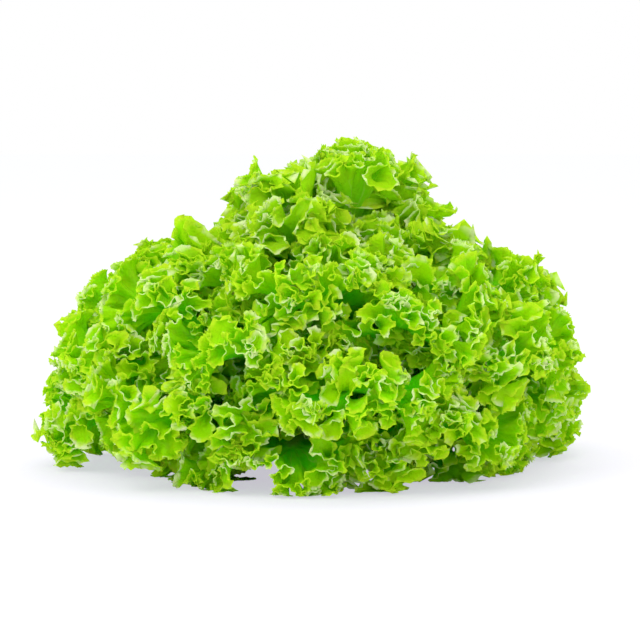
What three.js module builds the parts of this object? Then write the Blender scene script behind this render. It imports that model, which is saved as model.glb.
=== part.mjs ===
// A head of green lollo lettuce, standing on its trimmed butt. Millimetres, +Z up.
// The origin is the centre of the butt's cut face, which lies on the surface that the head stands on.
// A short conical stem carries the leaves in a spiral. The first leaf is the lowest and outermost and
// arches over to the surface, and the last ones stand up in the heart. Each leaf is a closed solid.
import * as THREE from "three";

const { smoothstep, lerp, degToRad } = THREE.MathUtils;

// Driving dimensions
const LEAF_COUNT = 44;
const LOWEST_LEAVES = 3;
const SPIRAL_STEP = degToRad(137.508); // the turn from one leaf to the next
const SPIRAL_START = degToRad(207);
const HEAD_RADIUS = 150; // from the origin to the tips of the outermost leaves and of the innermost
const TIP_LIFT = 3.5; // height of the outermost leaf's line at its tip, whose pleats meet the surface
const SHOULDER_RISE = 10; // how much further they reach halfway between the crown and the surface
const TUCK = { depth: 22, from: degToRad(80) }; // how far they draw in at the surface, and from what tilt

// Where the head grows taller or stays lower than that. A place is given by its azimuth from +X and its
// tilt from +Z; rise is how far the tips move there, and fade is the angle over which that ends.
const SWELLINGS = [
  { azimuth: 5, tilt: 11, rise: 36, fade: 15 },
  { azimuth: 200, tilt: 15, rise: 14, fade: 10 },
  { azimuth: 180, tilt: 30, rise: -36, fade: 9 },
  { azimuth: 0, tilt: 33, rise: -12, fade: 7 },
  { azimuth: 178, tilt: 54, rise: 12, fade: 16 },
  { azimuth: 2, tilt: 60, rise: 12, fade: 16 },
];

// How much further than that each leaf reaches, the first leaf first.
const REACH_CHANGES = [
  -28, -8, 0, -12, 24, 4, -12, 0, -4, -16, 0, 0, 0, 0, 4,
  0, 0, 4, 0, 0, 0, 0, -8, -4, 0, -8, -16, -8, -16, -16,
  -12, -20, -12, 0, -8, -12, 4, 0, -8, -8, 12, -4, 4, 0,
];

const STEM = { height: 46, footRadius: 16, topRadius: 4.5, cutEdge: 0.8, point: 2, sides: 24 };
const LOWEST_FOOT = 7; // heights at which the outermost and the innermost leaf leave the stem
const HIGHEST_FOOT = 44;
const STEM_GAP = 0.4;

// A leaf's blade. Shares count from 0 at the foot to 1 at the tip.
const BLADE = {
  outerHalfWidth: 66,
  heartHalfWidth: 46,
  thickness: 1.3,
  ribThickness: 3.2, // at the foot of the rib
  footTurn: 0.4, // half of the turn about the head's axis that the foot clasps, in radians
  outerTurn: 0.64, // the same for the widest place, on the outermost leaf and on the innermost
  heartTurn: 1.15,
  opensFrom: 0.18, // the shares between which the blade widens
  widestAt: 0.7,
  rise: 0.33, // how strongly the line sets out and ends in its first and last direction,
  fall: 0.3, // as shares of the reach
  firstTilt: 0.62, // the first direction's tilt, as a share of the tip's tilt
  recurve: degToRad(30), // how far the last direction turns out from the tip's own, halfway down the head
};

// The pleats that stand for the frilled margin: folds that grow from the blade to the margin.
const PLEATS = {
  start: 0.45, // how far out from the foot, or from the rib, they start, with 1 at the margin
  tipRise: 6.4, // how far they stand off the blade at its tip and at its sides
  sideRise: 1.5,
  lowestShare: 0.3, // the shares between which they grow to that
  fullShare: 0.85,
  ribWidth: 0.12, // how far across the rib keeps them off
};

// The head's three rings of leaves, from the outside in: the leaf that each ends at, and the number of
// faces across and along a blade. An even number across puts a row of corners on the rib.
const RINGS = [
  { name: "outer_leaf", upTo: 14, across: 14, along: 5, colour: 0x7fbf14 },
  { name: "middle_leaf", upTo: 32, across: 14, along: 4, colour: 0x8fcc1c },
  { name: "heart_leaf", upTo: LEAF_COUNT, across: 10, along: 4, colour: 0xa4d834 },
];

const STEM_COLOUR = 0xe4ecc0;
const UP = new THREE.Vector3(0, 0, 1);

function direction(azimuth, tilt) {
  return new THREE.Vector3(
    Math.sin(tilt) * Math.cos(azimuth),
    Math.sin(tilt) * Math.sin(azimuth),
    Math.cos(tilt),
  );
}

function headRadius(azimuth, tilt) {
  const here = direction(azimuth, tilt);
  const shoulder = SHOULDER_RISE * Math.sin(2 * tilt);
  const tuck = TUCK.depth * smoothstep(tilt, TUCK.from, Math.PI / 2);
  return SWELLINGS.reduce((radius, swelling) => {
    const centre = direction(degToRad(swelling.azimuth), degToRad(swelling.tilt));
    const away = here.angleTo(centre) / degToRad(swelling.fade);
    return radius + swelling.rise * Math.exp(-away * away);
  }, HEAD_RADIUS + shoulder - tuck);
}

// The stem's side narrows evenly from its foot to its top.
function stemRadius(height) {
  return lerp(STEM.footRadius, STEM.topRadius, height / STEM.height);
}

// Leaf number index: its rank runs from 0 outside to 1 in the heart, where the tips stand closer than
// an even spread over the head, acos(rank), would set them. The first leaves, which lie around the foot
// side by side, share the lowest rank and all meet the surface.
function leafPlace(index) {
  const rank = ((index < LOWEST_LEAVES ? 0 : index) + 0.5) / LEAF_COUNT;
  const azimuth = SPIRAL_START + index * SPIRAL_STEP;
  const tilt = (Math.acos(rank) + (1 - rank) * (Math.PI / 2)) / 2;
  const reach = headRadius(azimuth, tilt) + REACH_CHANGES[index];
  return { rank, azimuth, tilt, reach };
}

// The leaf's line in the plane of radius (x) and height (y): it leaves the stem steeply, rises and then
// curls out to its tip.
function leafLine({ rank, tilt, reach }) {
  const footHeight = lerp(LOWEST_FOOT, HIGHEST_FOOT, rank);
  const foot = new THREE.Vector2(stemRadius(footHeight) + STEM_GAP + BLADE.ribThickness / 2, footHeight);
  const firstTilt = BLADE.firstTilt * tilt;
  const lastTilt = tilt + BLADE.recurve * Math.sin(2 * tilt);
  const first = new THREE.Vector2(Math.sin(firstTilt), Math.cos(firstTilt));
  const last = new THREE.Vector2(Math.sin(lastTilt), Math.cos(lastTilt));
  const tip = new THREE.Vector2(reach * Math.sin(tilt), TIP_LIFT + (reach - TIP_LIFT) * Math.cos(tilt));
  return new THREE.CubicBezierCurve(
    foot,
    first.multiplyScalar(BLADE.rise * reach).add(foot),
    last.multiplyScalar(-BLADE.fall * reach).add(tip),
    tip,
  );
}

// The blade's half width at a share of its line, as a function of that share.
function bladeWidth({ rank }, line) {
  const foot = BLADE.footTurn * line.getPoint(0).x;
  const room = lerp(BLADE.outerTurn, BLADE.heartTurn, rank) * line.getPoint(BLADE.widestAt).x;
  const widest = Math.min(lerp(BLADE.outerHalfWidth, BLADE.heartHalfWidth, rank * rank), room);
  return (share) => lerp(foot, widest, smoothstep(share, BLADE.opensFrom, BLADE.widestAt));
}

// How far a pleat stands off the blade: nothing by the rib and the foot, and the most at the tip.
function pleatRise(across, along, share) {
  const towardsMargin = smoothstep(Math.max(along, across * across), PLEATS.start, 1);
  const towardsTip = smoothstep(share, PLEATS.lowestShare, PLEATS.fullShare);
  const offRib = smoothstep(Math.abs(across), 0, PLEATS.ribWidth);
  return lerp(PLEATS.tipRise, PLEATS.sideRise, across * across) * towardsMargin * towardsTip * offRib;
}

// The rim of a sheet of columns by rows cells, as pairs of neighbouring corners, turning left.
function rimEdges(columns, rows) {
  const corner = (column, row) => row * (columns + 1) + column; // row 0 is the sheet's upper edge
  const loop = [];
  for (let column = 0; column < columns; column++) loop.push(corner(column, rows));
  for (let row = rows; row > 0; row--) loop.push(corner(columns, row));
  for (let column = columns; column > 0; column--) loop.push(corner(column, 0));
  for (let row = 0; row < rows; row++) loop.push(corner(0, row));
  return loop.map((from, i) => [from, loop[(i + 1) % loop.length]]);
}

// A closed slab whose two faces are divided alike, so that they stay parallel when it is folded. Corners
// are (-1 to 1 across, 0 to 1 along, -0.5 on the back or 0.5 on the face).
function slabGeometry(columns, rows) {
  const sheet = new THREE.PlaneGeometry(2, 1, columns, rows).translate(0, 0.5, 0);
  const flat = sheet.getAttribute("position");
  const facing = [...sheet.index.array];
  const triangles = [...facing, ...facing.map((corner) => corner + flat.count).reverse()];
  for (const [from, to] of rimEdges(columns, rows)) {
    triangles.push(from + flat.count, to + flat.count, to, from + flat.count, to, from);
  }
  const corners = new Float32Array(2 * flat.array.length);
  for (let i = 0; i < flat.count; i++) {
    corners.set([flat.getX(i), flat.getY(i), 0.5], 3 * i);
    corners.set([flat.getX(i), flat.getY(i), -0.5], 3 * (i + flat.count));
  }
  const slab = new THREE.BufferGeometry();
  slab.setAttribute("position", new THREE.BufferAttribute(corners, 3));
  return slab.setIndex(triangles);
}

// One leaf: a slab, each of whose corners is carried onto the leaf's curved and pleated blade.
function leafGeometry(place, { across: columns, along: rows }) {
  const slab = slabGeometry(columns, rows);
  const corners = slab.getAttribute("position");
  const line = leafLine(place);
  const halfWidth = bladeWidth(place, line);
  const corner = new THREE.Vector3();
  for (let i = 0; i < corners.count; i++) {
    const across = corners.getX(i);
    const along = corners.getY(i);
    const side = corners.getZ(i);
    const roundTip = lerp(BLADE.widestAt, 1, Math.sqrt(Math.max(0, 1 - across * across)));
    const share = along * roundTip;
    const aside = across * halfWidth(along * BLADE.widestAt);
    const onLine = line.getPoint(share);
    const heading = line.getTangent(share);
    const thickness = lerp(BLADE.thickness, BLADE.ribThickness, (1 - along) * (1 - Math.abs(across)));
    const column = Math.round(((across + 1) / 2) * columns);
    const pleat = pleatRise(across, along, share) * (column % 2 ? 1 : -1);
    const off = side * thickness + pleat;
    const pressedFlat = side < 0 ? 0 : thickness; // where the lowest pleats lie on the surface
    corner.set(onLine.x - heading.y * off, 0, Math.max(onLine.y + heading.x * off, pressedFlat));
    corner.applyAxisAngle(UP, place.azimuth - aside / onLine.x);
    corners.setXYZ(i, corner.x, corner.y, corner.z);
  }
  return slab;
}

function matte(colour, roughness) {
  return new THREE.MeshStandardMaterial({ color: colour, roughness, metalness: 0, flatShading: true });
}

// The stem: its flat cut foot, an evenly narrowing side and a blunt growing point.
function cutStem() {
  const profile = [
    new THREE.Vector2(0, 0),
    new THREE.Vector2(stemRadius(0) - STEM.cutEdge, 0),
    new THREE.Vector2(stemRadius(STEM.cutEdge), STEM.cutEdge),
    new THREE.Vector2(stemRadius(STEM.height), STEM.height),
    new THREE.Vector2(0, STEM.height + STEM.point),
  ];
  const geometry = new THREE.LatheGeometry(profile, STEM.sides).rotateX(Math.PI / 2); // from Y up to Z up
  const mesh = new THREE.Mesh(geometry, matte(STEM_COLOUR, 0.6));
  mesh.name = "cut_stem";
  return mesh;
}

function ringOfLeaves(ring, from) {
  const group = new THREE.Group();
  const green = matte(ring.colour, 0.5);
  for (let index = from; index < ring.upTo; index++) {
    const mesh = new THREE.Mesh(leafGeometry(leafPlace(index), ring), green);
    mesh.name = `${ring.name}_${String(index - from + 1).padStart(2, "0")}`;
    group.add(mesh);
  }
  return group;
}

const head = new THREE.Group();
head.add(cutStem());
RINGS.forEach((ring, i) => head.add(ringOfLeaves(ring, i ? RINGS[i - 1].upTo : 0)));

export default head;
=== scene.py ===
"""The looks of a head of green lollo lettuce: its frilled leaves, its trimmed stem and its stage.

Metres, +Z up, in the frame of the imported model, along whose leaves these leaves grow.
"""

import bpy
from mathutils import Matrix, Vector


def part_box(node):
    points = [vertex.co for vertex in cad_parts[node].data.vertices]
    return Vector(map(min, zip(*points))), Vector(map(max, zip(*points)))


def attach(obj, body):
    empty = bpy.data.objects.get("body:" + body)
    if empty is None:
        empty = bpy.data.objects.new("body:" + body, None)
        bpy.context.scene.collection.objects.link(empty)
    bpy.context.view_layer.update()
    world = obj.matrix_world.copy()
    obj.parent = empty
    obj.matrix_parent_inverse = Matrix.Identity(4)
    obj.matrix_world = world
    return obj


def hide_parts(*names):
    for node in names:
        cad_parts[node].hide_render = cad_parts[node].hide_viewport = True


bl_info = {
    "name": "Lollo Lettuce",
    "version": (1, 0, 0),
    "blender": (4, 5, 0),
    "location": "3D View > Sidebar > Lettuce",
    "description": "Grows the frilled leaves and the trimmed stem of a head of green lollo lettuce",
    "category": "Object",
}

import bpy
import numpy as np
from bpy.props import EnumProperty, FloatProperty, FloatVectorProperty, IntProperty, PointerProperty
from mathutils import Vector

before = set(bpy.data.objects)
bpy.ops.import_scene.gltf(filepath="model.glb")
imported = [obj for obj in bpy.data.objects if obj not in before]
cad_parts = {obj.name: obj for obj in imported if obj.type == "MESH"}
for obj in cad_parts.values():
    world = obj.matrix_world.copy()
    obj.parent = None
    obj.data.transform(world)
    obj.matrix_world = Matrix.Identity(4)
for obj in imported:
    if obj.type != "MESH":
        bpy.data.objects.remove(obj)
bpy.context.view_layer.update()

BODY = "root"

# How the head grows, as the frame's leaves do: they leave a conical stem in a spiral, the first one lowest
LEAF_COUNT = 44
LOWEST_LEAVES = 3  # these lie side by side around the foot
SPIRAL_STEP = np.radians(137.508)
SPIRAL_START = np.radians(207)
HEAD_RADIUS = 0.150
TIP_LIFT = 0.0035
SHOULDER_RISE = 0.010
TUCK_DEPTH, TUCK_FROM = 0.022, np.radians(80)  # how far the tips draw in at the surface, and from what tilt
# How much farther than that each leaf reaches, in millimetres, the first leaf first. A search set these
# numbers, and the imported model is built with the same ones, so a change here takes the leaves off its own.
REACH_CHANGES = (
    -28, -8, 0, -12, 24, 4, -12, 0, -4, -16, 0, 0, 0, 0, 4,
    0, 0, 4, 0, 0, 0, 0, -8, -4, 0, -8, -16, -8, -16, -16,
    -12, -20, -12, 0, -8, -12, 4, 0, -8, -8, 12, -4, 4, 0,
)
# Where the head grows taller or stays lower: azimuth, tilt, rise and the angle over which that fades
SWELLINGS = (
    (5, 11, 0.036, 15), (200, 15, 0.014, 10), (180, 30, -0.036, 9), (0, 33, -0.012, 7),
    (178, 54, 0.012, 16), (2, 60, 0.012, 16),
)
STEM_HEIGHT, STEM_FOOT_RADIUS, STEM_TOP_RADIUS = 0.046, 0.016, 0.0045
LOWEST_FOOT, HIGHEST_FOOT, FOOT_GAP = 0.007, 0.044, 0.002
OUTER_HALF_WIDTH, HEART_HALF_WIDTH = 0.066, 0.046
FOOT_TURN, OUTER_TURN, HEART_TURN = 0.4, 0.64, 1.15
OPENS_FROM, WIDEST_AT = 0.18, 0.7
RISE, FALL, FIRST_TILT, RECURVE = 0.33, 0.3, 0.62, np.radians(30)

# The rings of leaves, by the frame's name for them: the first leaf, the one after the last, the columns of
# their blank, and how far their green leans towards the heart's
RINGS = {
    "outer_leaf": (0, 14, 80, 0.0),
    "middle_leaf": (14, 32, 80, 0.15),
    "heart_leaf": (32, LEAF_COUNT, 60, 0.5),
}

# Rows of a leaf's blank, as shares of the way from the margin to the rib, and how many of them each
# halving of the columns reaches
ROW_SHARES = np.array([0, 1.6, 3.6, 6, 9, 12.5, 17, 22, 28, 35, 44, 54, 63, 72]) / 72
FINE_ROWS = (9, 6, 2, 0, 0)
FINENESS = 2 ** len(FINE_ROWS)  # columns at the margin for each column at the rib

# The shares of a leaf's line over which each of these grows from nothing to its full size
CROWDED_OVER = (0.4, 0.72)  # the mesh's columns
LOBED_OVER = (0.3, 0.7)
TOOTHED_OVER = (0.2, 0.6)
LIFTED_OVER = (0.25, 0.7)

LEAST_TOOTH = 0.1  # as a share of the largest
TOOTH_SPREAD, TOOTH_SPACING = 0.6, 0.012  # how much teeth vary along the margin, and over what distance
TOOTH_ROOT = 0.0012  # how far in from the margin a tooth starts
SURFACE_ROUNDING = 0.002  # how gently a frill that would sink into the surface turns along it
LEAST_RADIUS = 0.004  # a leaf isn't wound tighter than this about the head's axis

RIM_WIDTH, RIB_WIDTH = 0.2, 0.2  # where a leaf's thickness changes, as shares of the way to the rib
MERGE_DISTANCE = 1e-5
LEAF_CREASE, STEM_CREASE = np.radians(75), np.radians(40)  # sharper edges than these stay sharp

VEIN_SPACING, VEIN_WANDER, VEIN_HALF_WIDTH = 0.011, 1.6, 0.09  # the last as a share of the spacing
BLISTERS_PER_METRE = 330.0

RIDGE_COUNT = 7
STEM_DISC = 0.003  # the height of the disc that the ridges are drawn out of
RIDGE_FLARE, RIDGE_NECK = 1.03, 1 / 1.05
CUT_RIM, CUT_SLOPE, CUT_HOLLOW = 0.0008, 0.005, 0.0003
STEM_ROUNDING = 0.0004
BROWNED_RING, BROWNED_RING_WIDTH = 0.0095, 0.0018  # the ring's radius on the cut, and how wide it fades

FLOOR_WIDTH = 12
KEY_LAMP = {"size": 1.6, "place": (-1.1, -1.5, 1.9)}
OVERHEAD_LAMP = {"size": 1.8, "place": (0.6, 0.5, 2.2)}
LAMP_AIM = Vector((0, 0, 0.08))


def smoothstep(value, low, high):
    value = np.clip((value - low) / (high - low), 0, 1)
    return value * value * (3 - 2 * value)


def mix(first, second, share):
    return first + (second - first) * share


def unit(vectors):
    return vectors / np.maximum(np.linalg.norm(vectors, axis=-1, keepdims=True), 1e-12)


# ---------------------------------------------------------------- where the leaves stand

def direction(azimuth, tilt):
    return np.array([np.sin(tilt) * np.cos(azimuth), np.sin(tilt) * np.sin(azimuth), np.cos(tilt)])


def head_radius(azimuth, tilt):
    """The distance from the origin to the tips of the leaves that lean this way."""
    here = direction(azimuth, tilt)
    radius = HEAD_RADIUS + SHOULDER_RISE * np.sin(2 * tilt)
    radius -= TUCK_DEPTH * smoothstep(tilt, TUCK_FROM, np.pi / 2)
    for swell_azimuth, swell_tilt, rise, fade in SWELLINGS:
        centre = direction(np.radians(swell_azimuth), np.radians(swell_tilt))
        away = np.arccos(np.clip(here @ centre, -1, 1)) / np.radians(fade)
        radius += rise * np.exp(-away * away)
    return radius


def leaf_place(index, fringe):
    """Rank from the outside in, azimuth, tilt and reach of a leaf, whose fringe stands out past its line."""
    rank = ((0 if index < LOWEST_LEAVES else index) + 0.5) / LEAF_COUNT
    azimuth = SPIRAL_START + index * SPIRAL_STEP
    tilt = (np.arccos(rank) + (1 - rank) * np.pi / 2) / 2
    reach = head_radius(azimuth, tilt) + 0.001 * REACH_CHANGES[index] - fringe
    return rank, azimuth, tilt, reach


def leaf_line(rank, tilt, reach):
    """Points along a leaf, by radius and height: it leaves the stem steeply, rises and curls out."""
    foot_height = mix(LOWEST_FOOT, HIGHEST_FOOT, rank)
    foot_radius = mix(STEM_FOOT_RADIUS, STEM_TOP_RADIUS, foot_height / STEM_HEIGHT) + FOOT_GAP
    last_tilt = tilt + RECURVE * np.sin(2 * tilt)
    foot = np.array([foot_radius, foot_height])
    first = np.array([np.sin(FIRST_TILT * tilt), np.cos(FIRST_TILT * tilt)])
    last = np.array([np.sin(last_tilt), np.cos(last_tilt)])
    tip = np.array([reach * np.sin(tilt), TIP_LIFT + (reach - TIP_LIFT) * np.cos(tilt)])
    rising, falling = foot + first * RISE * reach, tip - last * FALL * reach
    u = np.linspace(0, 1, 200)[:, None]
    return (1 - u)**3 * foot + 3 * (1 - u)**2 * u * rising + 3 * (1 - u) * u**2 * falling + u**3 * tip


def half_width(rank, line, share):
    """Half the width of a leaf's blade at a share of its line."""
    room = mix(OUTER_TURN, HEART_TURN, rank) * line[int(WIDEST_AT * (len(line) - 1)), 0]
    widest = min(mix(OUTER_HALF_WIDTH, HEART_HALF_WIDTH, rank * rank), room)
    return mix(FOOT_TURN * line[0, 0], widest, smoothstep(share, OPENS_FROM, WIDEST_AT))


# ---------------------------------------------------------------- how a margin frills

def wander(rng, distance, spacing):
    """Smooth noise from -1 to 1 along a distance, with a new value about every spacing."""
    count = int(np.ceil((distance.max() - distance.min()) / spacing)) + 4
    knots = rng.uniform(-1, 1, count)
    place = (distance - distance.min()) / spacing + 1
    i = np.floor(place).astype(int)
    f = place - i
    a, b, c, d = knots[i - 1], knots[i], knots[i + 1], knots[np.minimum(i + 2, count - 1)]
    return 0.5 * (2 * b + (c - a) * f + (2 * a - 5 * b + 4 * c - d) * f**2 + (3 * b - a - 3 * c + d) * f**3)


MEANDER_PHASES, MEANDER_BENDS = 128, 40
SHARPEST_BEND = np.radians(115)
TIGHTEST = 0.35  # a meander's wavelength, as a share of its length, is taken to be at least this


def meander_table():
    """One wave of a meander, forward and aside of its straight course, for each bend and phase."""
    fine = np.linspace(0, 2 * np.pi, 2049)
    phases = np.linspace(0, 2 * np.pi, MEANDER_PHASES + 1)
    forward, aside = np.zeros((2, MEANDER_BENDS + 1, MEANDER_PHASES + 1))
    for i, bend in enumerate(np.linspace(0, SHARPEST_BEND, MEANDER_BENDS + 1)):
        heading = bend * np.cos((fine[1:] + fine[:-1]) / 2)
        x = np.concatenate([[0], np.cumsum(np.cos(heading))]) * fine[1]
        y = np.concatenate([[0], np.cumsum(np.sin(heading))]) * fine[1]
        wave = max(x[-1], TIGHTEST)
        forward[i] = np.interp(phases, fine, (x - fine / fine[-1] * x[-1]) / wave)
        aside[i] = np.interp(phases, fine, y / wave)
    return forward, aside


MEANDER = meander_table()


def meander(phase, bend):
    """Offsets forward and aside, in wavelengths, of a meander that swings by up to bend."""
    column = phase / (2 * np.pi) % 1 * MEANDER_PHASES
    row = np.clip(bend / SHARPEST_BEND, 0, 1) * MEANDER_BENDS
    i = np.minimum(column.astype(int), MEANDER_PHASES - 1)
    j = np.minimum(row.astype(int), MEANDER_BENDS - 1)
    f, g = column - i, row - j
    return [
        (t[j, i] * (1 - f) + t[j, i + 1] * f) * (1 - g) + (t[j + 1, i] * (1 - f) + t[j + 1, i + 1] * f) * g
        for t in MEANDER
    ]


def length_along(rows):
    steps = np.linalg.norm(np.diff(rows, axis=1), axis=-1)
    return np.concatenate([np.zeros((len(rows), 1)), np.cumsum(steps, axis=1)], axis=1)


def sheet_frame(sheet):
    """Directions along the margin, out to it and off the sheet, at every point."""
    tangent = unit(np.gradient(sheet, axis=1))
    normal = unit(np.cross(tangent, -np.gradient(sheet, axis=0)))
    return tangent, unit(np.cross(normal, tangent)), normal


def ruffle(sheet, depth_in, share, ray, level, rng):
    """Winds each row of a sheet to and fro off its course, most at the margin and less further in."""
    length = length_along(sheet[:1])[0]
    wave = level["wave"] * np.exp(level["uneven"] * wander(rng, length, 1.3 * level["wave"]))
    turns = np.concatenate([[0], np.cumsum(2 * np.diff(length) / (wave[1:] + wave[:-1]))]) + rng.uniform()
    bend = level["bend"] * (1 + level["wild"] * wander(rng, length, 1.5 * level["wave"]))
    bend = bend * smoothstep(share, level["low"], level["full"])
    depth = np.minimum(level["depth"] * (1 + 0.25 * wander(rng, length, 2 * level["wave"])), 0.9 * ray)
    fade = np.clip(1 - depth_in / depth, 0, 1) ** level["power"]
    forward, aside = meander(np.broadcast_to(2 * np.pi * turns, depth_in.shape), bend * fade)
    stretch = np.linalg.norm(np.gradient(sheet, axis=1), axis=-1)
    size = wave * stretch / np.maximum(stretch[:1], 1e-9)
    tangent, _, normal = sheet_frame(sheet)
    return sheet + (size * forward)[..., None] * tangent + (size * aside)[..., None] * normal


def leaf_outline(rank, line, arc):
    """The flat blade's outline, from one side of its foot round the tip: aside, along and share."""
    side = np.linspace(0, WIDEST_AT, 400)
    width = half_width(rank, line, side)
    turn = np.linspace(0, np.pi, 600)[1:-1]
    aside = np.concatenate([-width, -width[-1] * np.cos(turn), width[::-1]])
    share = np.concatenate([side, WIDEST_AT + (1 - WIDEST_AT) * np.sin(turn), side[::-1]])
    return aside, np.interp(share, np.linspace(0, 1, len(line)), arc), share


def grow_sheet(index, columns, frill):
    """A leaf as rows of points from margin to rib: aside, along and off its line, and its finish maps."""
    rng = np.random.default_rng(frill.seed + 17 * index)
    rank, azimuth, tilt, reach = leaf_place(index, frill.fringe)
    line = leaf_line(rank, tilt, reach)
    arc = length_along(line[None])[0]
    aside, along, share = leaf_outline(rank, line, arc)
    outline = np.concatenate([[0], np.cumsum(np.hypot(np.diff(aside), np.diff(along)))])
    crowding = mix(frill.foot_columns, 1, smoothstep(share, *CROWDED_OVER))  # more columns where it frills
    weight = np.concatenate([[0], np.cumsum((crowding[1:] + crowding[:-1]) / 2 * np.diff(outline))])
    place = np.interp(np.linspace(0, weight[-1], columns + 1), weight, outline)
    aside, along, share = (np.interp(place, outline, values) for values in (aside, along, share))
    zero = np.zeros_like(aside)
    margin = np.stack([aside, along, zero], axis=-1)
    rib = np.stack([zero, frill.vein_slant * along, zero], axis=-1)
    ray = np.linalg.norm(margin - rib, axis=-1)
    depth_in = ROW_SHARES[:, None] * ray
    lobes = frill.lobe * wander(rng, place, frill.lobe_spacing) * smoothstep(share, *LOBED_OVER)
    margin += unit(margin - rib) * lobes[:, None]
    inwards = ROW_SHARES[:, None, None]
    sheet = margin * (1 - inwards) + rib * inwards
    for level in ruffle_levels(frill, rank):
        sheet = ruffle(sheet, depth_in, share, ray, level, rng)
    edge = length_along(sheet[:1])[0]
    points_out = np.where(np.arange(columns + 1) % 2, rng.uniform(LEAST_TOOTH, 1.0, columns + 1), 0.0)
    tooth = frill.tooth * points_out * (1 + TOOTH_SPREAD * wander(rng, edge, TOOTH_SPACING))
    tooth = tooth * smoothstep(share, *TOOTHED_OVER) * np.clip(1 - depth_in / TOOTH_ROOT, 0, 1)
    sheet = sheet + tooth[..., None] * sheet_frame(sheet)[1]
    place, share, to_rib = (
        np.broadcast_to(values, depth_in.shape) for values in (place, share, ROW_SHARES[:, None]))
    maps = {"margin": (place, depth_in), "blade": (to_rib, share)}
    return onto_head(sheet, line, arc, azimuth, frill), maps


def ruffle_levels(frill, rank):
    """The four sizes of frill, from the broad folds down to the fine crimps of the margin."""
    softness = mix(0.92, frill.heart_softness, rank)  # the young leaves' cups and crimps are larger
    folds = dict(wave=frill.fold_wave, bend=frill.fold_bend, depth=frill.fold_depth,
                 uneven=0.20, wild=0.25, low=0.30, full=0.75, power=1.0)
    curls = dict(wave=frill.curl_wave, bend=frill.curl_bend, depth=frill.curl_depth,
                 uneven=0.30, wild=0.20, low=0.30, full=0.72, power=0.8)
    cups = dict(wave=softness * frill.cup_wave, bend=frill.cup_bend, depth=softness * frill.cup_depth,
                uneven=0.46, wild=0.25, low=0.20, full=0.65, power=0.7)
    crimps = dict(wave=softness * frill.crimp_wave, bend=frill.crimp_bend,
                  depth=softness * frill.crimp_depth,
                  uneven=0.35, wild=0.35, low=0.30, full=0.70, power=1.0)
    return folds, curls, cups, crimps


def onto_head(sheet, line, arc, azimuth, frill):
    """Carries a leaf from its own aside, along and off onto its line in the head, above the surface."""
    aside, along, off = np.moveaxis(sheet, -1, 0)
    on_line = np.clip(along, 0, arc[-1])
    past_tip = along - on_line
    heading = unit(np.gradient(line, axis=0))
    radius, height, outwards, upwards = (
        np.interp(on_line, arc, values) for values in (*line.T, *heading.T))
    lift = np.maximum(0, frill.floor_clearance - height) * smoothstep(on_line / arc[-1], *LIFTED_OVER)
    across = radius + past_tip * outwards - off * upwards
    above = height + past_tip * upwards + off * outwards + lift
    above = frill.floor_gap + 0.5 * (above + np.sqrt(above**2 + SURFACE_ROUNDING**2))
    turn = azimuth - aside / np.maximum(radius, LEAST_RADIUS)
    return np.stack([across * np.cos(turn), across * np.sin(turn), above], axis=-1)


# ---------------------------------------------------------------- modelling helpers

def only(piece):
    """Makes a piece the only one that is selected and the active one."""
    bpy.ops.object.select_all(action="DESELECT")
    piece.select_set(True)
    bpy.context.view_layer.objects.active = piece


def numbers(collection, name, width):
    """Reads one property of a mesh's points, edges or corners, width numbers each."""
    values = np.empty(len(collection) * width, dtype=np.float32 if name == "co" else np.int32)
    collection.foreach_get(name, values)
    return values.reshape(-1, width) if width > 1 else values


def select_faces(piece, wanted):
    """Selects the faces of a piece in edit mode that a test wants."""
    bpy.ops.object.mode_set(mode="OBJECT")
    for face in piece.data.polygons:
        face.select = wanted(face)
    bpy.ops.object.mode_set(mode="EDIT")


def leaf_blank(columns):
    """A flat grid whose columns are halved again and again towards the margin, as a pattern for leaves.

    A point's X counts columns at the rib, and its Y counts rows from the margin.
    """
    rows = len(ROW_SHARES) - 1
    bpy.ops.object.select_all(action="DESELECT")
    bpy.ops.mesh.primitive_grid_add(x_subdivisions=columns, y_subdivisions=rows, size=1)
    blank = bpy.context.object
    blank.name = "leaf_blank"
    blank.data.transform(blank.matrix_world)
    points = numbers(blank.data.vertices, "co", 3)
    points = np.round((points + 0.5) * (columns, rows, 0)).astype(np.float32)
    blank.data.vertices.foreach_set("co", points.ravel())
    only(blank)
    for fine_row in FINE_ROWS:
        bpy.ops.object.mode_set(mode="EDIT")
        bpy.ops.mesh.select_mode(type="EDGE")
        bpy.ops.mesh.select_all(action="DESELECT")
        bpy.ops.object.mode_set(mode="OBJECT")
        points = numbers(blank.data.vertices, "co", 3)
        ends = points[numbers(blank.data.edges, "vertices", 2)]
        chosen = (ends[:, 0, 1] == ends[:, 1, 1]) & (ends[:, 0, 1] <= fine_row)
        blank.data.edges.foreach_set("select", chosen)
        bpy.ops.object.mode_set(mode="EDIT")
        bpy.ops.mesh.subdivide(number_cuts=1, ngon=False, quadcorner="INNERVERT")
        bpy.ops.object.mode_set(mode="OBJECT")
    return blank


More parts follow.
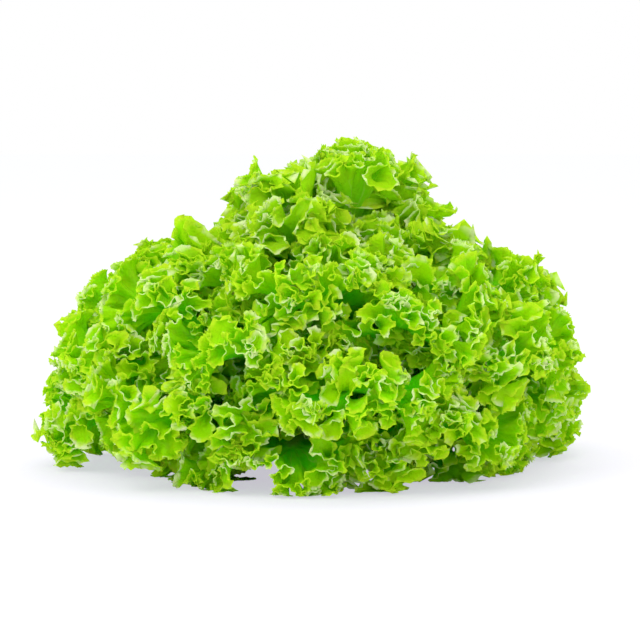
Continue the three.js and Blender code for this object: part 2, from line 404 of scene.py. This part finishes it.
def shape_leaf(blank, name, points, maps, thickness):
    """Copies the blank, lays it on a leaf's points and gives it its finish maps and its thickness."""
    leaf = bpy.data.objects.new(name, blank.data.copy())
    bpy.context.collection.objects.link(leaf)
    mesh = leaf.data
    mesh.name = name
    while mesh.uv_layers:
        mesh.uv_layers.remove(mesh.uv_layers[0])
    flat = numbers(mesh.vertices, "co", 3)
    column = np.round(flat[:, 0] * FINENESS).astype(int)
    row = np.round(flat[:, 1]).astype(int)
    mesh.vertices.foreach_set("co", points[row, column].astype(np.float32).ravel())
    corners = numbers(mesh.loops, "vertex_index", 1)
    for map_name, (u, v) in maps.items():
        layer = mesh.uv_layers.new(name=map_name)
        flat_map = np.stack([u[row, column], v[row, column]], axis=-1)
        layer.data.foreach_set("uv", flat_map[corners].astype(np.float32).ravel())
    weights = thickness[row, column] / thickness.max()
    group = leaf.vertex_groups.new(name="thickness")
    for step in np.unique(np.round(weights, 2)):
        group.add(np.flatnonzero(np.round(weights, 2) == step).tolist(), float(step), "REPLACE")
    only(leaf)
    bpy.ops.object.mode_set(mode="EDIT")
    bpy.ops.mesh.select_all(action="SELECT")
    bpy.ops.mesh.remove_doubles(threshold=MERGE_DISTANCE)
    bpy.ops.object.mode_set(mode="OBJECT")
    wall = leaf.modifiers.new("wall", "SOLIDIFY")
    wall.thickness = thickness.max()
    wall.offset = 0
    wall.use_even_offset = False
    wall.vertex_group = group.name
    wall.thickness_vertex_group = 0
    bpy.ops.object.modifier_apply(modifier=wall.name)
    leaf.vertex_groups.clear()
    bpy.ops.object.shade_smooth_by_angle(angle=LEAF_CREASE)
    return leaf


# ---------------------------------------------------------------- finishes

class Nodes:
    """Builds a material's nodes, each from its kind, its settings and what feeds its sockets."""

    def __init__(self, name):
        self.material = bpy.data.materials.new(name)
        self.material.use_nodes = True
        self.tree = self.material.node_tree
        self.tree.nodes.clear()

    def add(self, kind, inputs=None, **settings):
        node = self.tree.nodes.new(f"ShaderNode{kind}")
        for name, value in settings.items():
            setattr(node, name, value)
        for name, value in (inputs or {}).items():
            if isinstance(value, bpy.types.NodeSocket):
                self.tree.links.new(value, node.inputs[name])
            else:
                node.inputs[name].default_value = value
        return node

    def uv(self, name):
        split = self.add("SeparateXYZ", {0: self.add("UVMap", uv_map=name).outputs[0]})
        return split.outputs[0], split.outputs[1]

    def ramp(self, value, low, high, to_low=0.0, to_high=1.0):
        node = self.add("MapRange", {0: value, 1: low, 2: high, 3: to_low, 4: to_high},
                        interpolation_type="SMOOTHSTEP")
        return node.outputs[0]

    def math(self, operation, first, second=0.0):
        return self.add("Math", {0: first, 1: second}, operation=operation).outputs[0]

    def blend(self, factor, first, second):
        node = self.add("Mix", data_type="RGBA")
        for socket, value in ((0, factor), (6, first), (7, second)):
            if isinstance(value, bpy.types.NodeSocket):
                self.tree.links.new(value, node.inputs[socket])
            else:
                node.inputs[socket].default_value = value
        return node.outputs[2]

    def noise(self, scale, detail):
        place = self.add("TexCoord").outputs["Object"]
        return self.add("TexNoise", {"Vector": place, "Scale": scale, "Detail": detail}).outputs[0]


def solid(colour):
    return (*colour, 1.0)


def leaf_finish(name, colours, paleness):
    """Leaf green: pale at the rim, partly its own paleness and partly painted highlight, deeper green
    further in, partly its own tone and partly painted shade, veined and mottled, and letting light through.
    """
    n = Nodes(name)
    place, depth_in = n.uv("margin")
    to_rib, _ = n.uv("blade")
    patches = n.noise(38.0, 4.0)
    mottle = n.noise(210.0, 3.0)
    # partly painted shade: away from the margin, where leaves lie in the head's hollows, the green turns
    # deeper and more saturated, partly the blade's own tone and partly painted shade colour
    green = n.blend(n.ramp(depth_in, 0.003, 0.026), solid(colours.blade), solid(colours.blade_deep_and_shade))
    green = n.blend(n.ramp(patches, 0.35, 0.70, 0.0, 0.35), green, solid(colours.blade_deep_and_shade))
    green = n.blend(n.ramp(mottle, 0.35, 0.75, 0.0, 0.35), green, solid(colours.blade_bright))
    green = n.blend(paleness, green, solid(colours.heart))
    green = n.blend(n.ramp(to_rib, 0.88, 0.99, 0.0, 0.9), green, solid(colours.base))
    wandering = n.math("MULTIPLY", n.noise(55.0, 2.0), VEIN_WANDER)
    wave = n.math("ADD", n.math("MULTIPLY", place, 1 / VEIN_SPACING), wandering)
    from_vein = n.math("ABSOLUTE", n.math("SUBTRACT", n.math("FRACT", wave), 0.5))
    vein = n.ramp(from_vein, 0.0, VEIN_HALF_WIDTH, 1.0, 0.0)
    vein = n.math("MULTIPLY", vein, n.ramp(to_rib, 0.05, 0.5, 0.1, 0.6))
    green = n.blend(vein, green, solid(colours.vein))
    green = n.blend(n.ramp(depth_in, 0.0003, 0.0014, 0.9, 0.0), green, solid(colours.edge))
    # partly painted highlight: in noisy stretches the outermost millimetre of the margin turns near white,
    # partly the margin's own paleness and partly a painted highlight for edges that catch the light
    pale_and_highlight_stretches = n.ramp(n.noise(90.0, 2.0), 0.49, 0.63)
    rim = n.math("MULTIPLY", n.ramp(depth_in, 0.0002, 0.0013, 1.0, 0.0), pale_and_highlight_stretches)
    green = n.blend(rim, green, solid(colours.rim))
    browned_tips = n.ramp(n.noise(16.0, 3.0), 0.74, 0.80)
    rust = n.math("MULTIPLY", browned_tips, n.ramp(depth_in, 0.0005, 0.007, 0.65, 0.0))
    green = n.blend(rust, green, solid(colours.rust))
    where = n.add("TexCoord").outputs["Object"]
    cells = n.add("TexVoronoi", {"Vector": where, "Scale": BLISTERS_PER_METRE},
                  feature="DISTANCE_TO_EDGE").outputs[0]
    blister = n.math("ADD", n.ramp(cells, 0.0, 0.25), n.math("MULTIPLY", vein, -0.8))
    bump = n.add("Bump", {"Height": blister, "Strength": 0.35, "Distance": 0.0004}).outputs[0]
    skin = n.add("BsdfPrincipled", {"Base Color": green, "Normal": bump, "Roughness": 0.38,
                                    "Specular IOR Level": 0.03})
    glow = n.blend(n.ramp(depth_in, 0.002, 0.020, 0.75, 0.45), green, solid(colours.glow))
    through = n.add("BsdfTranslucent", {"Color": glow, "Normal": bump})
    both = n.add("MixShader", {0: 0.5, 1: skin.outputs[0], 2: through.outputs[0]})
    n.add("OutputMaterial", {0: both.outputs[0]})
    return n.material


def stem_finish(name, colours):
    """Pale stem flesh: greener up its side, browned and ringed on its cut foot."""
    n = Nodes(name)
    place = n.add("TexCoord").outputs["Object"]
    split = n.add("SeparateXYZ", {0: place})
    side = n.blend(n.ramp(split.outputs[2], 0.002, 0.03), solid(colours.stem), solid(colours.base))
    flat = n.add("CombineXYZ", {0: split.outputs[0], 1: split.outputs[1]}).outputs[0]
    distance = n.add("VectorMath", {0: flat}, operation="LENGTH").outputs["Value"]
    from_ring = n.math("ABSOLUTE", n.math("SUBTRACT", distance, BROWNED_RING))
    ring = n.ramp(from_ring, 0.0, BROWNED_RING_WIDTH, 0.7, 0.0)
    browned = n.ramp(n.noise(320.0, 4.0), 0.4, 0.75)
    cut = n.blend(n.math("MULTIPLY", browned, 0.6), solid(colours.stem), solid(colours.cut))
    cut = n.blend(ring, cut, solid(colours.cut))
    flesh = n.blend(n.ramp(split.outputs[2], 0.0004, 0.0016), cut, side)
    grain = n.noise(600.0, 3.0)
    bump = n.add("Bump", {"Height": grain, "Strength": 0.3, "Distance": 0.0005}).outputs[0]
    skin = n.add("BsdfPrincipled", {"Base Color": flesh, "Normal": bump, "Roughness": 0.55})
    n.add("OutputMaterial", {0: skin.outputs[0]})
    return n.material


def paper_finish(name, colour, shade, glow):
    """The pale floor: bright to the camera further out, and close to the head with its real shadows tinted
    by a painted cool shade in the glow that the camera sees.
    """
    n = Nodes(name)
    cloud = n.noise(3.0, 2.0)
    tone = n.blend(n.math("MULTIPLY", cloud, 0.01), solid(colour), solid([0.97 * c for c in colour]))
    place = n.add("TexCoord").outputs["Object"]
    distance = n.add("VectorMath", {0: place}, operation="LENGTH").outputs["Value"]
    far = n.ramp(distance, 0.12, 0.30)
    matt = n.add("BsdfDiffuse", {"Color": n.blend(0.5, tone, solid(shade))})
    # painted shade: close to the head the glow that the camera sees takes the cool shade colour, a painted
    # cool shadow over the floor's real one
    white = n.add("Emission", {"Color": n.blend(far, solid(shade), tone), "Strength": 1.0})
    seen = n.add("LightPath").outputs["Is Camera Ray"]
    share = n.math("MULTIPLY", seen, n.add("Mix", {0: far, 2: 0.6, 3: glow}).outputs[0])
    both = n.add("MixShader", {0: share, 1: matt.outputs[0], 2: white.outputs[0]})
    n.add("OutputMaterial", {0: both.outputs[0]})
    return n.material


# ---------------------------------------------------------------- settings

class FrillSettings(bpy.types.PropertyGroup):
    """The sizes of the leaves' frills."""

    seed: IntProperty(name="Seed", description="Another number grows other frills", default=1000)
    fringe: FloatProperty(name="Fringe", description="How far the frill stands out past a leaf's line",
                          default=0.006, unit="LENGTH")
    fold_wave: FloatProperty(name="Fold", description="Length of a broad fold", default=0.060, unit="LENGTH")
    fold_bend: FloatProperty(name="Fold Bend", description="How far a fold swings off the margin's course",
                             default=np.radians(70), unit="ROTATION")
    fold_depth: FloatProperty(name="Fold Depth", description="How far in from the margin the folds reach",
                              default=0.066, unit="LENGTH")
    curl_wave: FloatProperty(name="Curl", description="Length of a curl", default=0.026, unit="LENGTH")
    curl_bend: FloatProperty(name="Curl Bend", description="How far a curl swings off its fold",
                             default=np.radians(92), unit="ROTATION")
    curl_depth: FloatProperty(name="Curl Depth", description="How far in from the margin the curls reach",
                              default=0.042, unit="LENGTH")
    cup_wave: FloatProperty(name="Cup", description="Length of a small cup", default=0.0105, unit="LENGTH")
    cup_bend: FloatProperty(name="Cup Bend", description="How far a cup swings off its curl",
                            default=np.radians(105), unit="ROTATION")
    cup_depth: FloatProperty(name="Cup Depth", description="How far in from the margin the cups reach",
                             default=0.018, unit="LENGTH")
    crimp_wave: FloatProperty(name="Crimp", description="Length of a fine crimp",
                              default=0.0062, unit="LENGTH")
    crimp_bend: FloatProperty(name="Crimp Bend", description="How far a crimp swings off its cup",
                              default=np.radians(58), unit="ROTATION")
    crimp_depth: FloatProperty(name="Crimp Depth", description="How far in from the margin the crimps reach",
                               default=0.0055, unit="LENGTH")
    heart_softness: FloatProperty(name="Heart Softness",
                                  description="How much larger the innermost leaves' cups and crimps are",
                                  default=1.25, subtype="FACTOR", min=0.5, max=2.0)
    tooth: FloatProperty(name="Tooth", description="How far a tooth stands out of the margin",
                         default=0.0010, unit="LENGTH")
    lobe: FloatProperty(name="Lobe", description="How far the outline wanders in and out",
                        default=0.003, unit="LENGTH")
    lobe_spacing: FloatProperty(name="Lobe Spacing", description="Distance between such lobes",
                                default=0.020, unit="LENGTH")
    vein_slant: FloatProperty(name="Vein Slant",
                              description="Where a side vein starts, as a share of where it ends",
                              default=0.62, subtype="FACTOR")
    foot_columns: FloatProperty(name="Foot Columns",
                                description="How dense the columns are by the foot, for one in the frill",
                                default=0.06, subtype="FACTOR")
    floor_clearance: FloatProperty(name="Clearance",
                                   description="Least height of a leaf's line near its tip",
                                   default=0.014, unit="LENGTH")
    floor_gap: FloatProperty(name="Gap", description="Least height of the frills over the surface",
                             default=0.0004, unit="LENGTH")
    blade: FloatProperty(name="Blade", description="Thickness of the blade",
                         default=0.0005, unit="LENGTH")
    margin: FloatProperty(name="Margin", description="Thickness at the margin",
                          default=0.0003, unit="LENGTH")
    rib: FloatProperty(name="Rib", description="Thickness of the rib at its foot",
                       default=0.0030, unit="LENGTH")


def colour_property(name, description, default):
    return FloatVectorProperty(name=name, description=description, default=default, subtype="COLOR",
                               size=3, min=0.0, max=1.0)


class ColourSettings(bpy.types.PropertyGroup):
    """The colours of the leaves and the stem."""

    blade: colour_property("Blade", "The blade's usual green", (0.515, 0.835, 0.002))
    # partly painted shade: besides the blade's random deeper patches, this green fills the blade away from
    # the margin as painted shade colour of the head's hollows
    blade_deep_and_shade: colour_property("Deep", "The blade's deeper patches", (0.105, 0.880, 0.003))
    blade_bright: colour_property("Bright", "The blade's lighter specks", (0.590, 0.860, 0.007))
    heart: colour_property("Heart", "What the innermost leaves lean towards", (0.550, 0.810, 0.018))
    base: colour_property("Base", "The blade by its rib", (0.760, 0.900, 0.320))
    vein: colour_property("Vein", "Side veins", (0.640, 0.880, 0.120))
    edge: colour_property("Edge", "The margin's thin rim", (0.740, 0.905, 0.034))
    # partly painted highlight: these palest stretches of the rim are partly the margin's own paleness and
    # partly painted highlight
    rim: colour_property("Rim", "The palest stretches of that rim", (0.990, 0.990, 0.640))
    glow: colour_property("Glow", "Light that comes through a leaf", (0.640, 0.970, 0.003))
    rust: colour_property("Rust", "The few browned tips", (0.420, 0.160, 0.020))
    stem: colour_property("Stem", "The stem's flesh", (0.740, 0.800, 0.550))
    cut: colour_property("Cut", "The cut foot's browned parts", (0.480, 0.320, 0.140))


class StageSettings(bpy.types.PropertyGroup):
    """The floor, the lamps and the camera."""

    floor: colour_property("Floor", "The pale floor", (0.985, 0.995, 1.0))
    # painted shade: this colour tints the floor's glow close to the head as a painted cool shadow, and makes
    # up half of the floor's matt colour everywhere
    floor_shade: colour_property("Floor Shade", "The floor's cool tone close to the head", (0.93, 0.90, 1.0))
    floor_glow: FloatProperty(name="Floor Glow", description="How much of the floor shows unshaded",
                              default=0.8, subtype="FACTOR")
    sky: FloatProperty(name="Sky", description="Strength of the light from all round", default=1.05)
    key: FloatProperty(name="Key", description="Power of the large lamp at the front",
                       default=25.0, unit="POWER")
    fill: FloatProperty(name="Fill", description="Power of the lamp overhead", default=14.0, unit="POWER")
    camera_distance: FloatProperty(name="Distance", description="From the camera to the head's middle",
                                   default=1.6, unit="LENGTH")
    camera_height: FloatProperty(name="Height", description="Height of the camera",
                                 default=0.215, unit="LENGTH")
    aim_height: FloatProperty(name="Aim", description="Height that the camera looks at", default=0.080,
                              unit="LENGTH")
    view_width: FloatProperty(name="View", description="Width that the camera sees at the head's middle",
                              default=0.346, unit="LENGTH")


# ---------------------------------------------------------------- operators

class LETTUCE_OT_grow_leaves(bpy.types.Operator):
    """Grow one ring of frilled leaves"""

    bl_idname = "lettuce.grow_leaves"
    bl_label = "Grow Leaves"

    ring: EnumProperty(name="Ring", description="Which ring of leaves", items=[
        ("outer_leaf", "Outer", "The leaves that arch over to the surface"),
        ("middle_leaf", "Middle", "The leaves of the shoulders"),
        ("heart_leaf", "Heart", "The young leaves of the crown"),
    ])

    def execute(self, context):
        frill, colours = context.scene.lettuce_frill, context.scene.lettuce_colours
        first, end, columns, paleness = RINGS[self.ring]
        finish = leaf_finish(f"{self.ring}_green", colours, paleness)
        blank = leaf_blank(columns)
        for index in range(first, end):
            points, maps = grow_sheet(index, columns * FINENESS, frill)
            to_rib, share = maps["blade"]
            wall = mix(frill.margin, frill.blade, smoothstep(to_rib, 0.0, RIM_WIDTH))
            rib = mix(frill.rib, frill.blade, smoothstep(share, 0.0, 1.0))
            thickness = mix(wall, rib, smoothstep(to_rib, 1 - RIB_WIDTH, 1.0))
            node = f"{self.ring}_{index - first + 1:02d}"
            leaf = shape_leaf(blank, f"frilled_{node}", points, maps, thickness)
            leaf.data.materials.clear()
            leaf.data.materials.append(finish)
            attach(leaf, BODY)
            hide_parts(node)
        bpy.data.objects.remove(blank)
        return {"FINISHED"}


class LETTUCE_OT_make_stem(bpy.types.Operator):
    """Make the trimmed stem with its cut foot and the ridges that the leaves leave"""

    bl_idname = "lettuce.make_stem"
    bl_label = "Make Stem"

    def execute(self, context):
        low, high = (Vector(corner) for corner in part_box("cut_stem"))
        radius = (high.x - low.x) / 2
        bpy.ops.object.select_all(action="DESELECT")
        bpy.ops.mesh.primitive_cylinder_add(
            vertices=40, radius=radius, depth=STEM_DISC, location=(0, 0, STEM_DISC / 2))
        stem = context.object
        stem.name = stem.data.name = "trimmed_stem"
        bpy.ops.object.transform_apply(location=True, rotation=True, scale=True)
        bpy.ops.object.mode_set(mode="EDIT")
        bpy.ops.mesh.select_mode(type="FACE")
        bpy.ops.mesh.select_all(action="DESELECT")
        select_faces(stem, lambda face: face.normal.z > 0.9)
        rise = (high.z - STEM_DISC) / (2 * RIDGE_COUNT)
        widths = mix(radius, STEM_TOP_RADIUS, np.arange(RIDGE_COUNT + 1) / RIDGE_COUNT)
        for narrower in widths[1:] / widths[:-1]:
            for scale in (narrower * RIDGE_FLARE, RIDGE_NECK):
                bpy.ops.mesh.extrude_region_move(TRANSFORM_OT_translate={"value": (0, 0, rise)})
                bpy.ops.transform.resize(value=(scale, scale, 1), center_override=(0, 0, 0))
        bpy.ops.mesh.select_all(action="DESELECT")
        select_faces(stem, lambda face: face.normal.z < -0.9)
        bpy.ops.mesh.inset(thickness=CUT_RIM)
        bpy.ops.mesh.inset(thickness=CUT_SLOPE)
        bpy.ops.transform.translate(value=(0, 0, CUT_HOLLOW))
        bpy.ops.object.mode_set(mode="OBJECT")
        only(stem)
        rounding = stem.modifiers.new("rounding", "BEVEL")
        rounding.width = STEM_ROUNDING
        rounding.segments = 2
        rounding.limit_method = "ANGLE"
        bpy.ops.object.modifier_apply(modifier=rounding.name)
        bpy.ops.object.shade_smooth_by_angle(angle=STEM_CREASE)
        stem.data.materials.clear()
        stem.data.materials.append(stem_finish("stem_flesh", context.scene.lettuce_colours))
        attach(stem, BODY)
        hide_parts("cut_stem")
        return {"FINISHED"}


class LETTUCE_OT_set_stage(bpy.types.Operator):
    """Lay the pale floor, hang the lamps and place the camera"""

    bl_idname = "lettuce.set_stage"
    bl_label = "Set Stage"

    def execute(self, context):
        stage = context.scene.lettuce_stage
        bpy.ops.object.select_all(action="DESELECT")
        bpy.ops.mesh.primitive_plane_add(size=FLOOR_WIDTH, location=(0, 0, 0))
        floor = context.object
        floor.name = "pale_floor"
        paper = paper_finish("pale_paper", stage.floor, stage.floor_shade, stage.floor_glow)
        floor.data.materials.append(paper)
        self.hang_lamp("key_lamp", stage.key, **KEY_LAMP)
        self.hang_lamp("overhead_lamp", stage.fill, **OVERHEAD_LAMP)
        self.light_sky(context, stage.sky)
        self.place_camera(context, stage)
        context.scene.view_settings.view_transform = "Standard"
        return {"FINISHED"}

    @staticmethod
    def hang_lamp(name, power, size, place):
        bpy.ops.object.light_add(type="AREA", location=place)
        lamp = bpy.context.object
        lamp.name = name
        lamp.data.energy = power
        lamp.data.size = size
        lamp.rotation_euler = (LAMP_AIM - Vector(place)).to_track_quat("-Z", "Y").to_euler()

    @staticmethod
    def light_sky(context, strength):
        """Lights the head from all round, before a backdrop that stays plain white at any strength."""
        world = bpy.data.worlds.new("sky")
        world.use_nodes = True
        tree = world.node_tree
        tree.nodes.clear()
        lit = tree.nodes.new("ShaderNodeBackground")
        lit.inputs["Color"].default_value = (1, 1, 1, 1)
        lit.inputs["Strength"].default_value = strength
        white = tree.nodes.new("ShaderNodeBackground")
        white.inputs["Color"].default_value = (1, 1, 1, 1)
        rays = tree.nodes.new("ShaderNodeLightPath")
        either = tree.nodes.new("ShaderNodeMath")
        any_of = tree.nodes.new("ShaderNodeMath")
        either.operation = any_of.operation = "MAXIMUM"
        choice = tree.nodes.new("ShaderNodeMixShader")
        output = tree.nodes.new("ShaderNodeOutputWorld")
        tree.links.new(rays.outputs["Is Glossy Ray"], either.inputs[0])
        tree.links.new(rays.outputs["Is Transmission Ray"], either.inputs[1])
        tree.links.new(rays.outputs["Is Camera Ray"], any_of.inputs[0])
        tree.links.new(either.outputs[0], any_of.inputs[1])
        tree.links.new(any_of.outputs[0], choice.inputs[0])
        tree.links.new(lit.outputs[0], choice.inputs[1])
        tree.links.new(white.outputs[0], choice.inputs[2])
        tree.links.new(choice.outputs[0], output.inputs[0])
        context.scene.world = world

    @staticmethod
    def place_camera(context, stage):
        place = Vector((0, -stage.camera_distance, stage.camera_height))
        bpy.ops.object.camera_add(location=place)
        camera = context.object
        camera.name = "front_camera"
        aim = Vector((0, 0, stage.aim_height))
        camera.rotation_euler = (aim - place).to_track_quat("-Z", "Y").to_euler()
        camera.data.lens = camera.data.sensor_width * stage.camera_distance / stage.view_width
        context.scene.camera = camera


class LETTUCE_PT_panel(bpy.types.Panel):
    """Lists what grows the lettuce, with its settings"""

    bl_label = "Lollo Lettuce"
    bl_idname = "LETTUCE_PT_panel"
    bl_space_type = "VIEW_3D"
    bl_region_type = "UI"
    bl_category = "Lettuce"

    def draw(self, context):
        layout = self.layout
        layout.operator("lettuce.make_stem")
        for ring in RINGS:
            layout.operator("lettuce.grow_leaves", text=f"Grow {ring}").ring = ring
        layout.operator("lettuce.set_stage")
        scene = context.scene
        for settings in (scene.lettuce_frill, scene.lettuce_colours, scene.lettuce_stage):
            for name in settings.bl_rna.properties.keys():
                if name not in ("rna_type", "name"):
                    layout.prop(settings, name)


CLASSES = (FrillSettings, ColourSettings, StageSettings, LETTUCE_OT_grow_leaves, LETTUCE_OT_make_stem,
           LETTUCE_OT_set_stage, LETTUCE_PT_panel)


def register():
    for each in CLASSES:
        bpy.utils.register_class(each)
    bpy.types.Scene.lettuce_frill = PointerProperty(type=FrillSettings)
    bpy.types.Scene.lettuce_colours = PointerProperty(type=ColourSettings)
    bpy.types.Scene.lettuce_stage = PointerProperty(type=StageSettings)


def unregister():
    del bpy.types.Scene.lettuce_frill
    del bpy.types.Scene.lettuce_colours
    del bpy.types.Scene.lettuce_stage
    for each in reversed(CLASSES):
        bpy.utils.unregister_class(each)


def main():
    register()
    bpy.ops.lettuce.make_stem()
    for ring in RINGS:
        bpy.ops.lettuce.grow_leaves(ring=ring)
    bpy.ops.lettuce.set_stage()


if __name__ == "__main__":
    main()
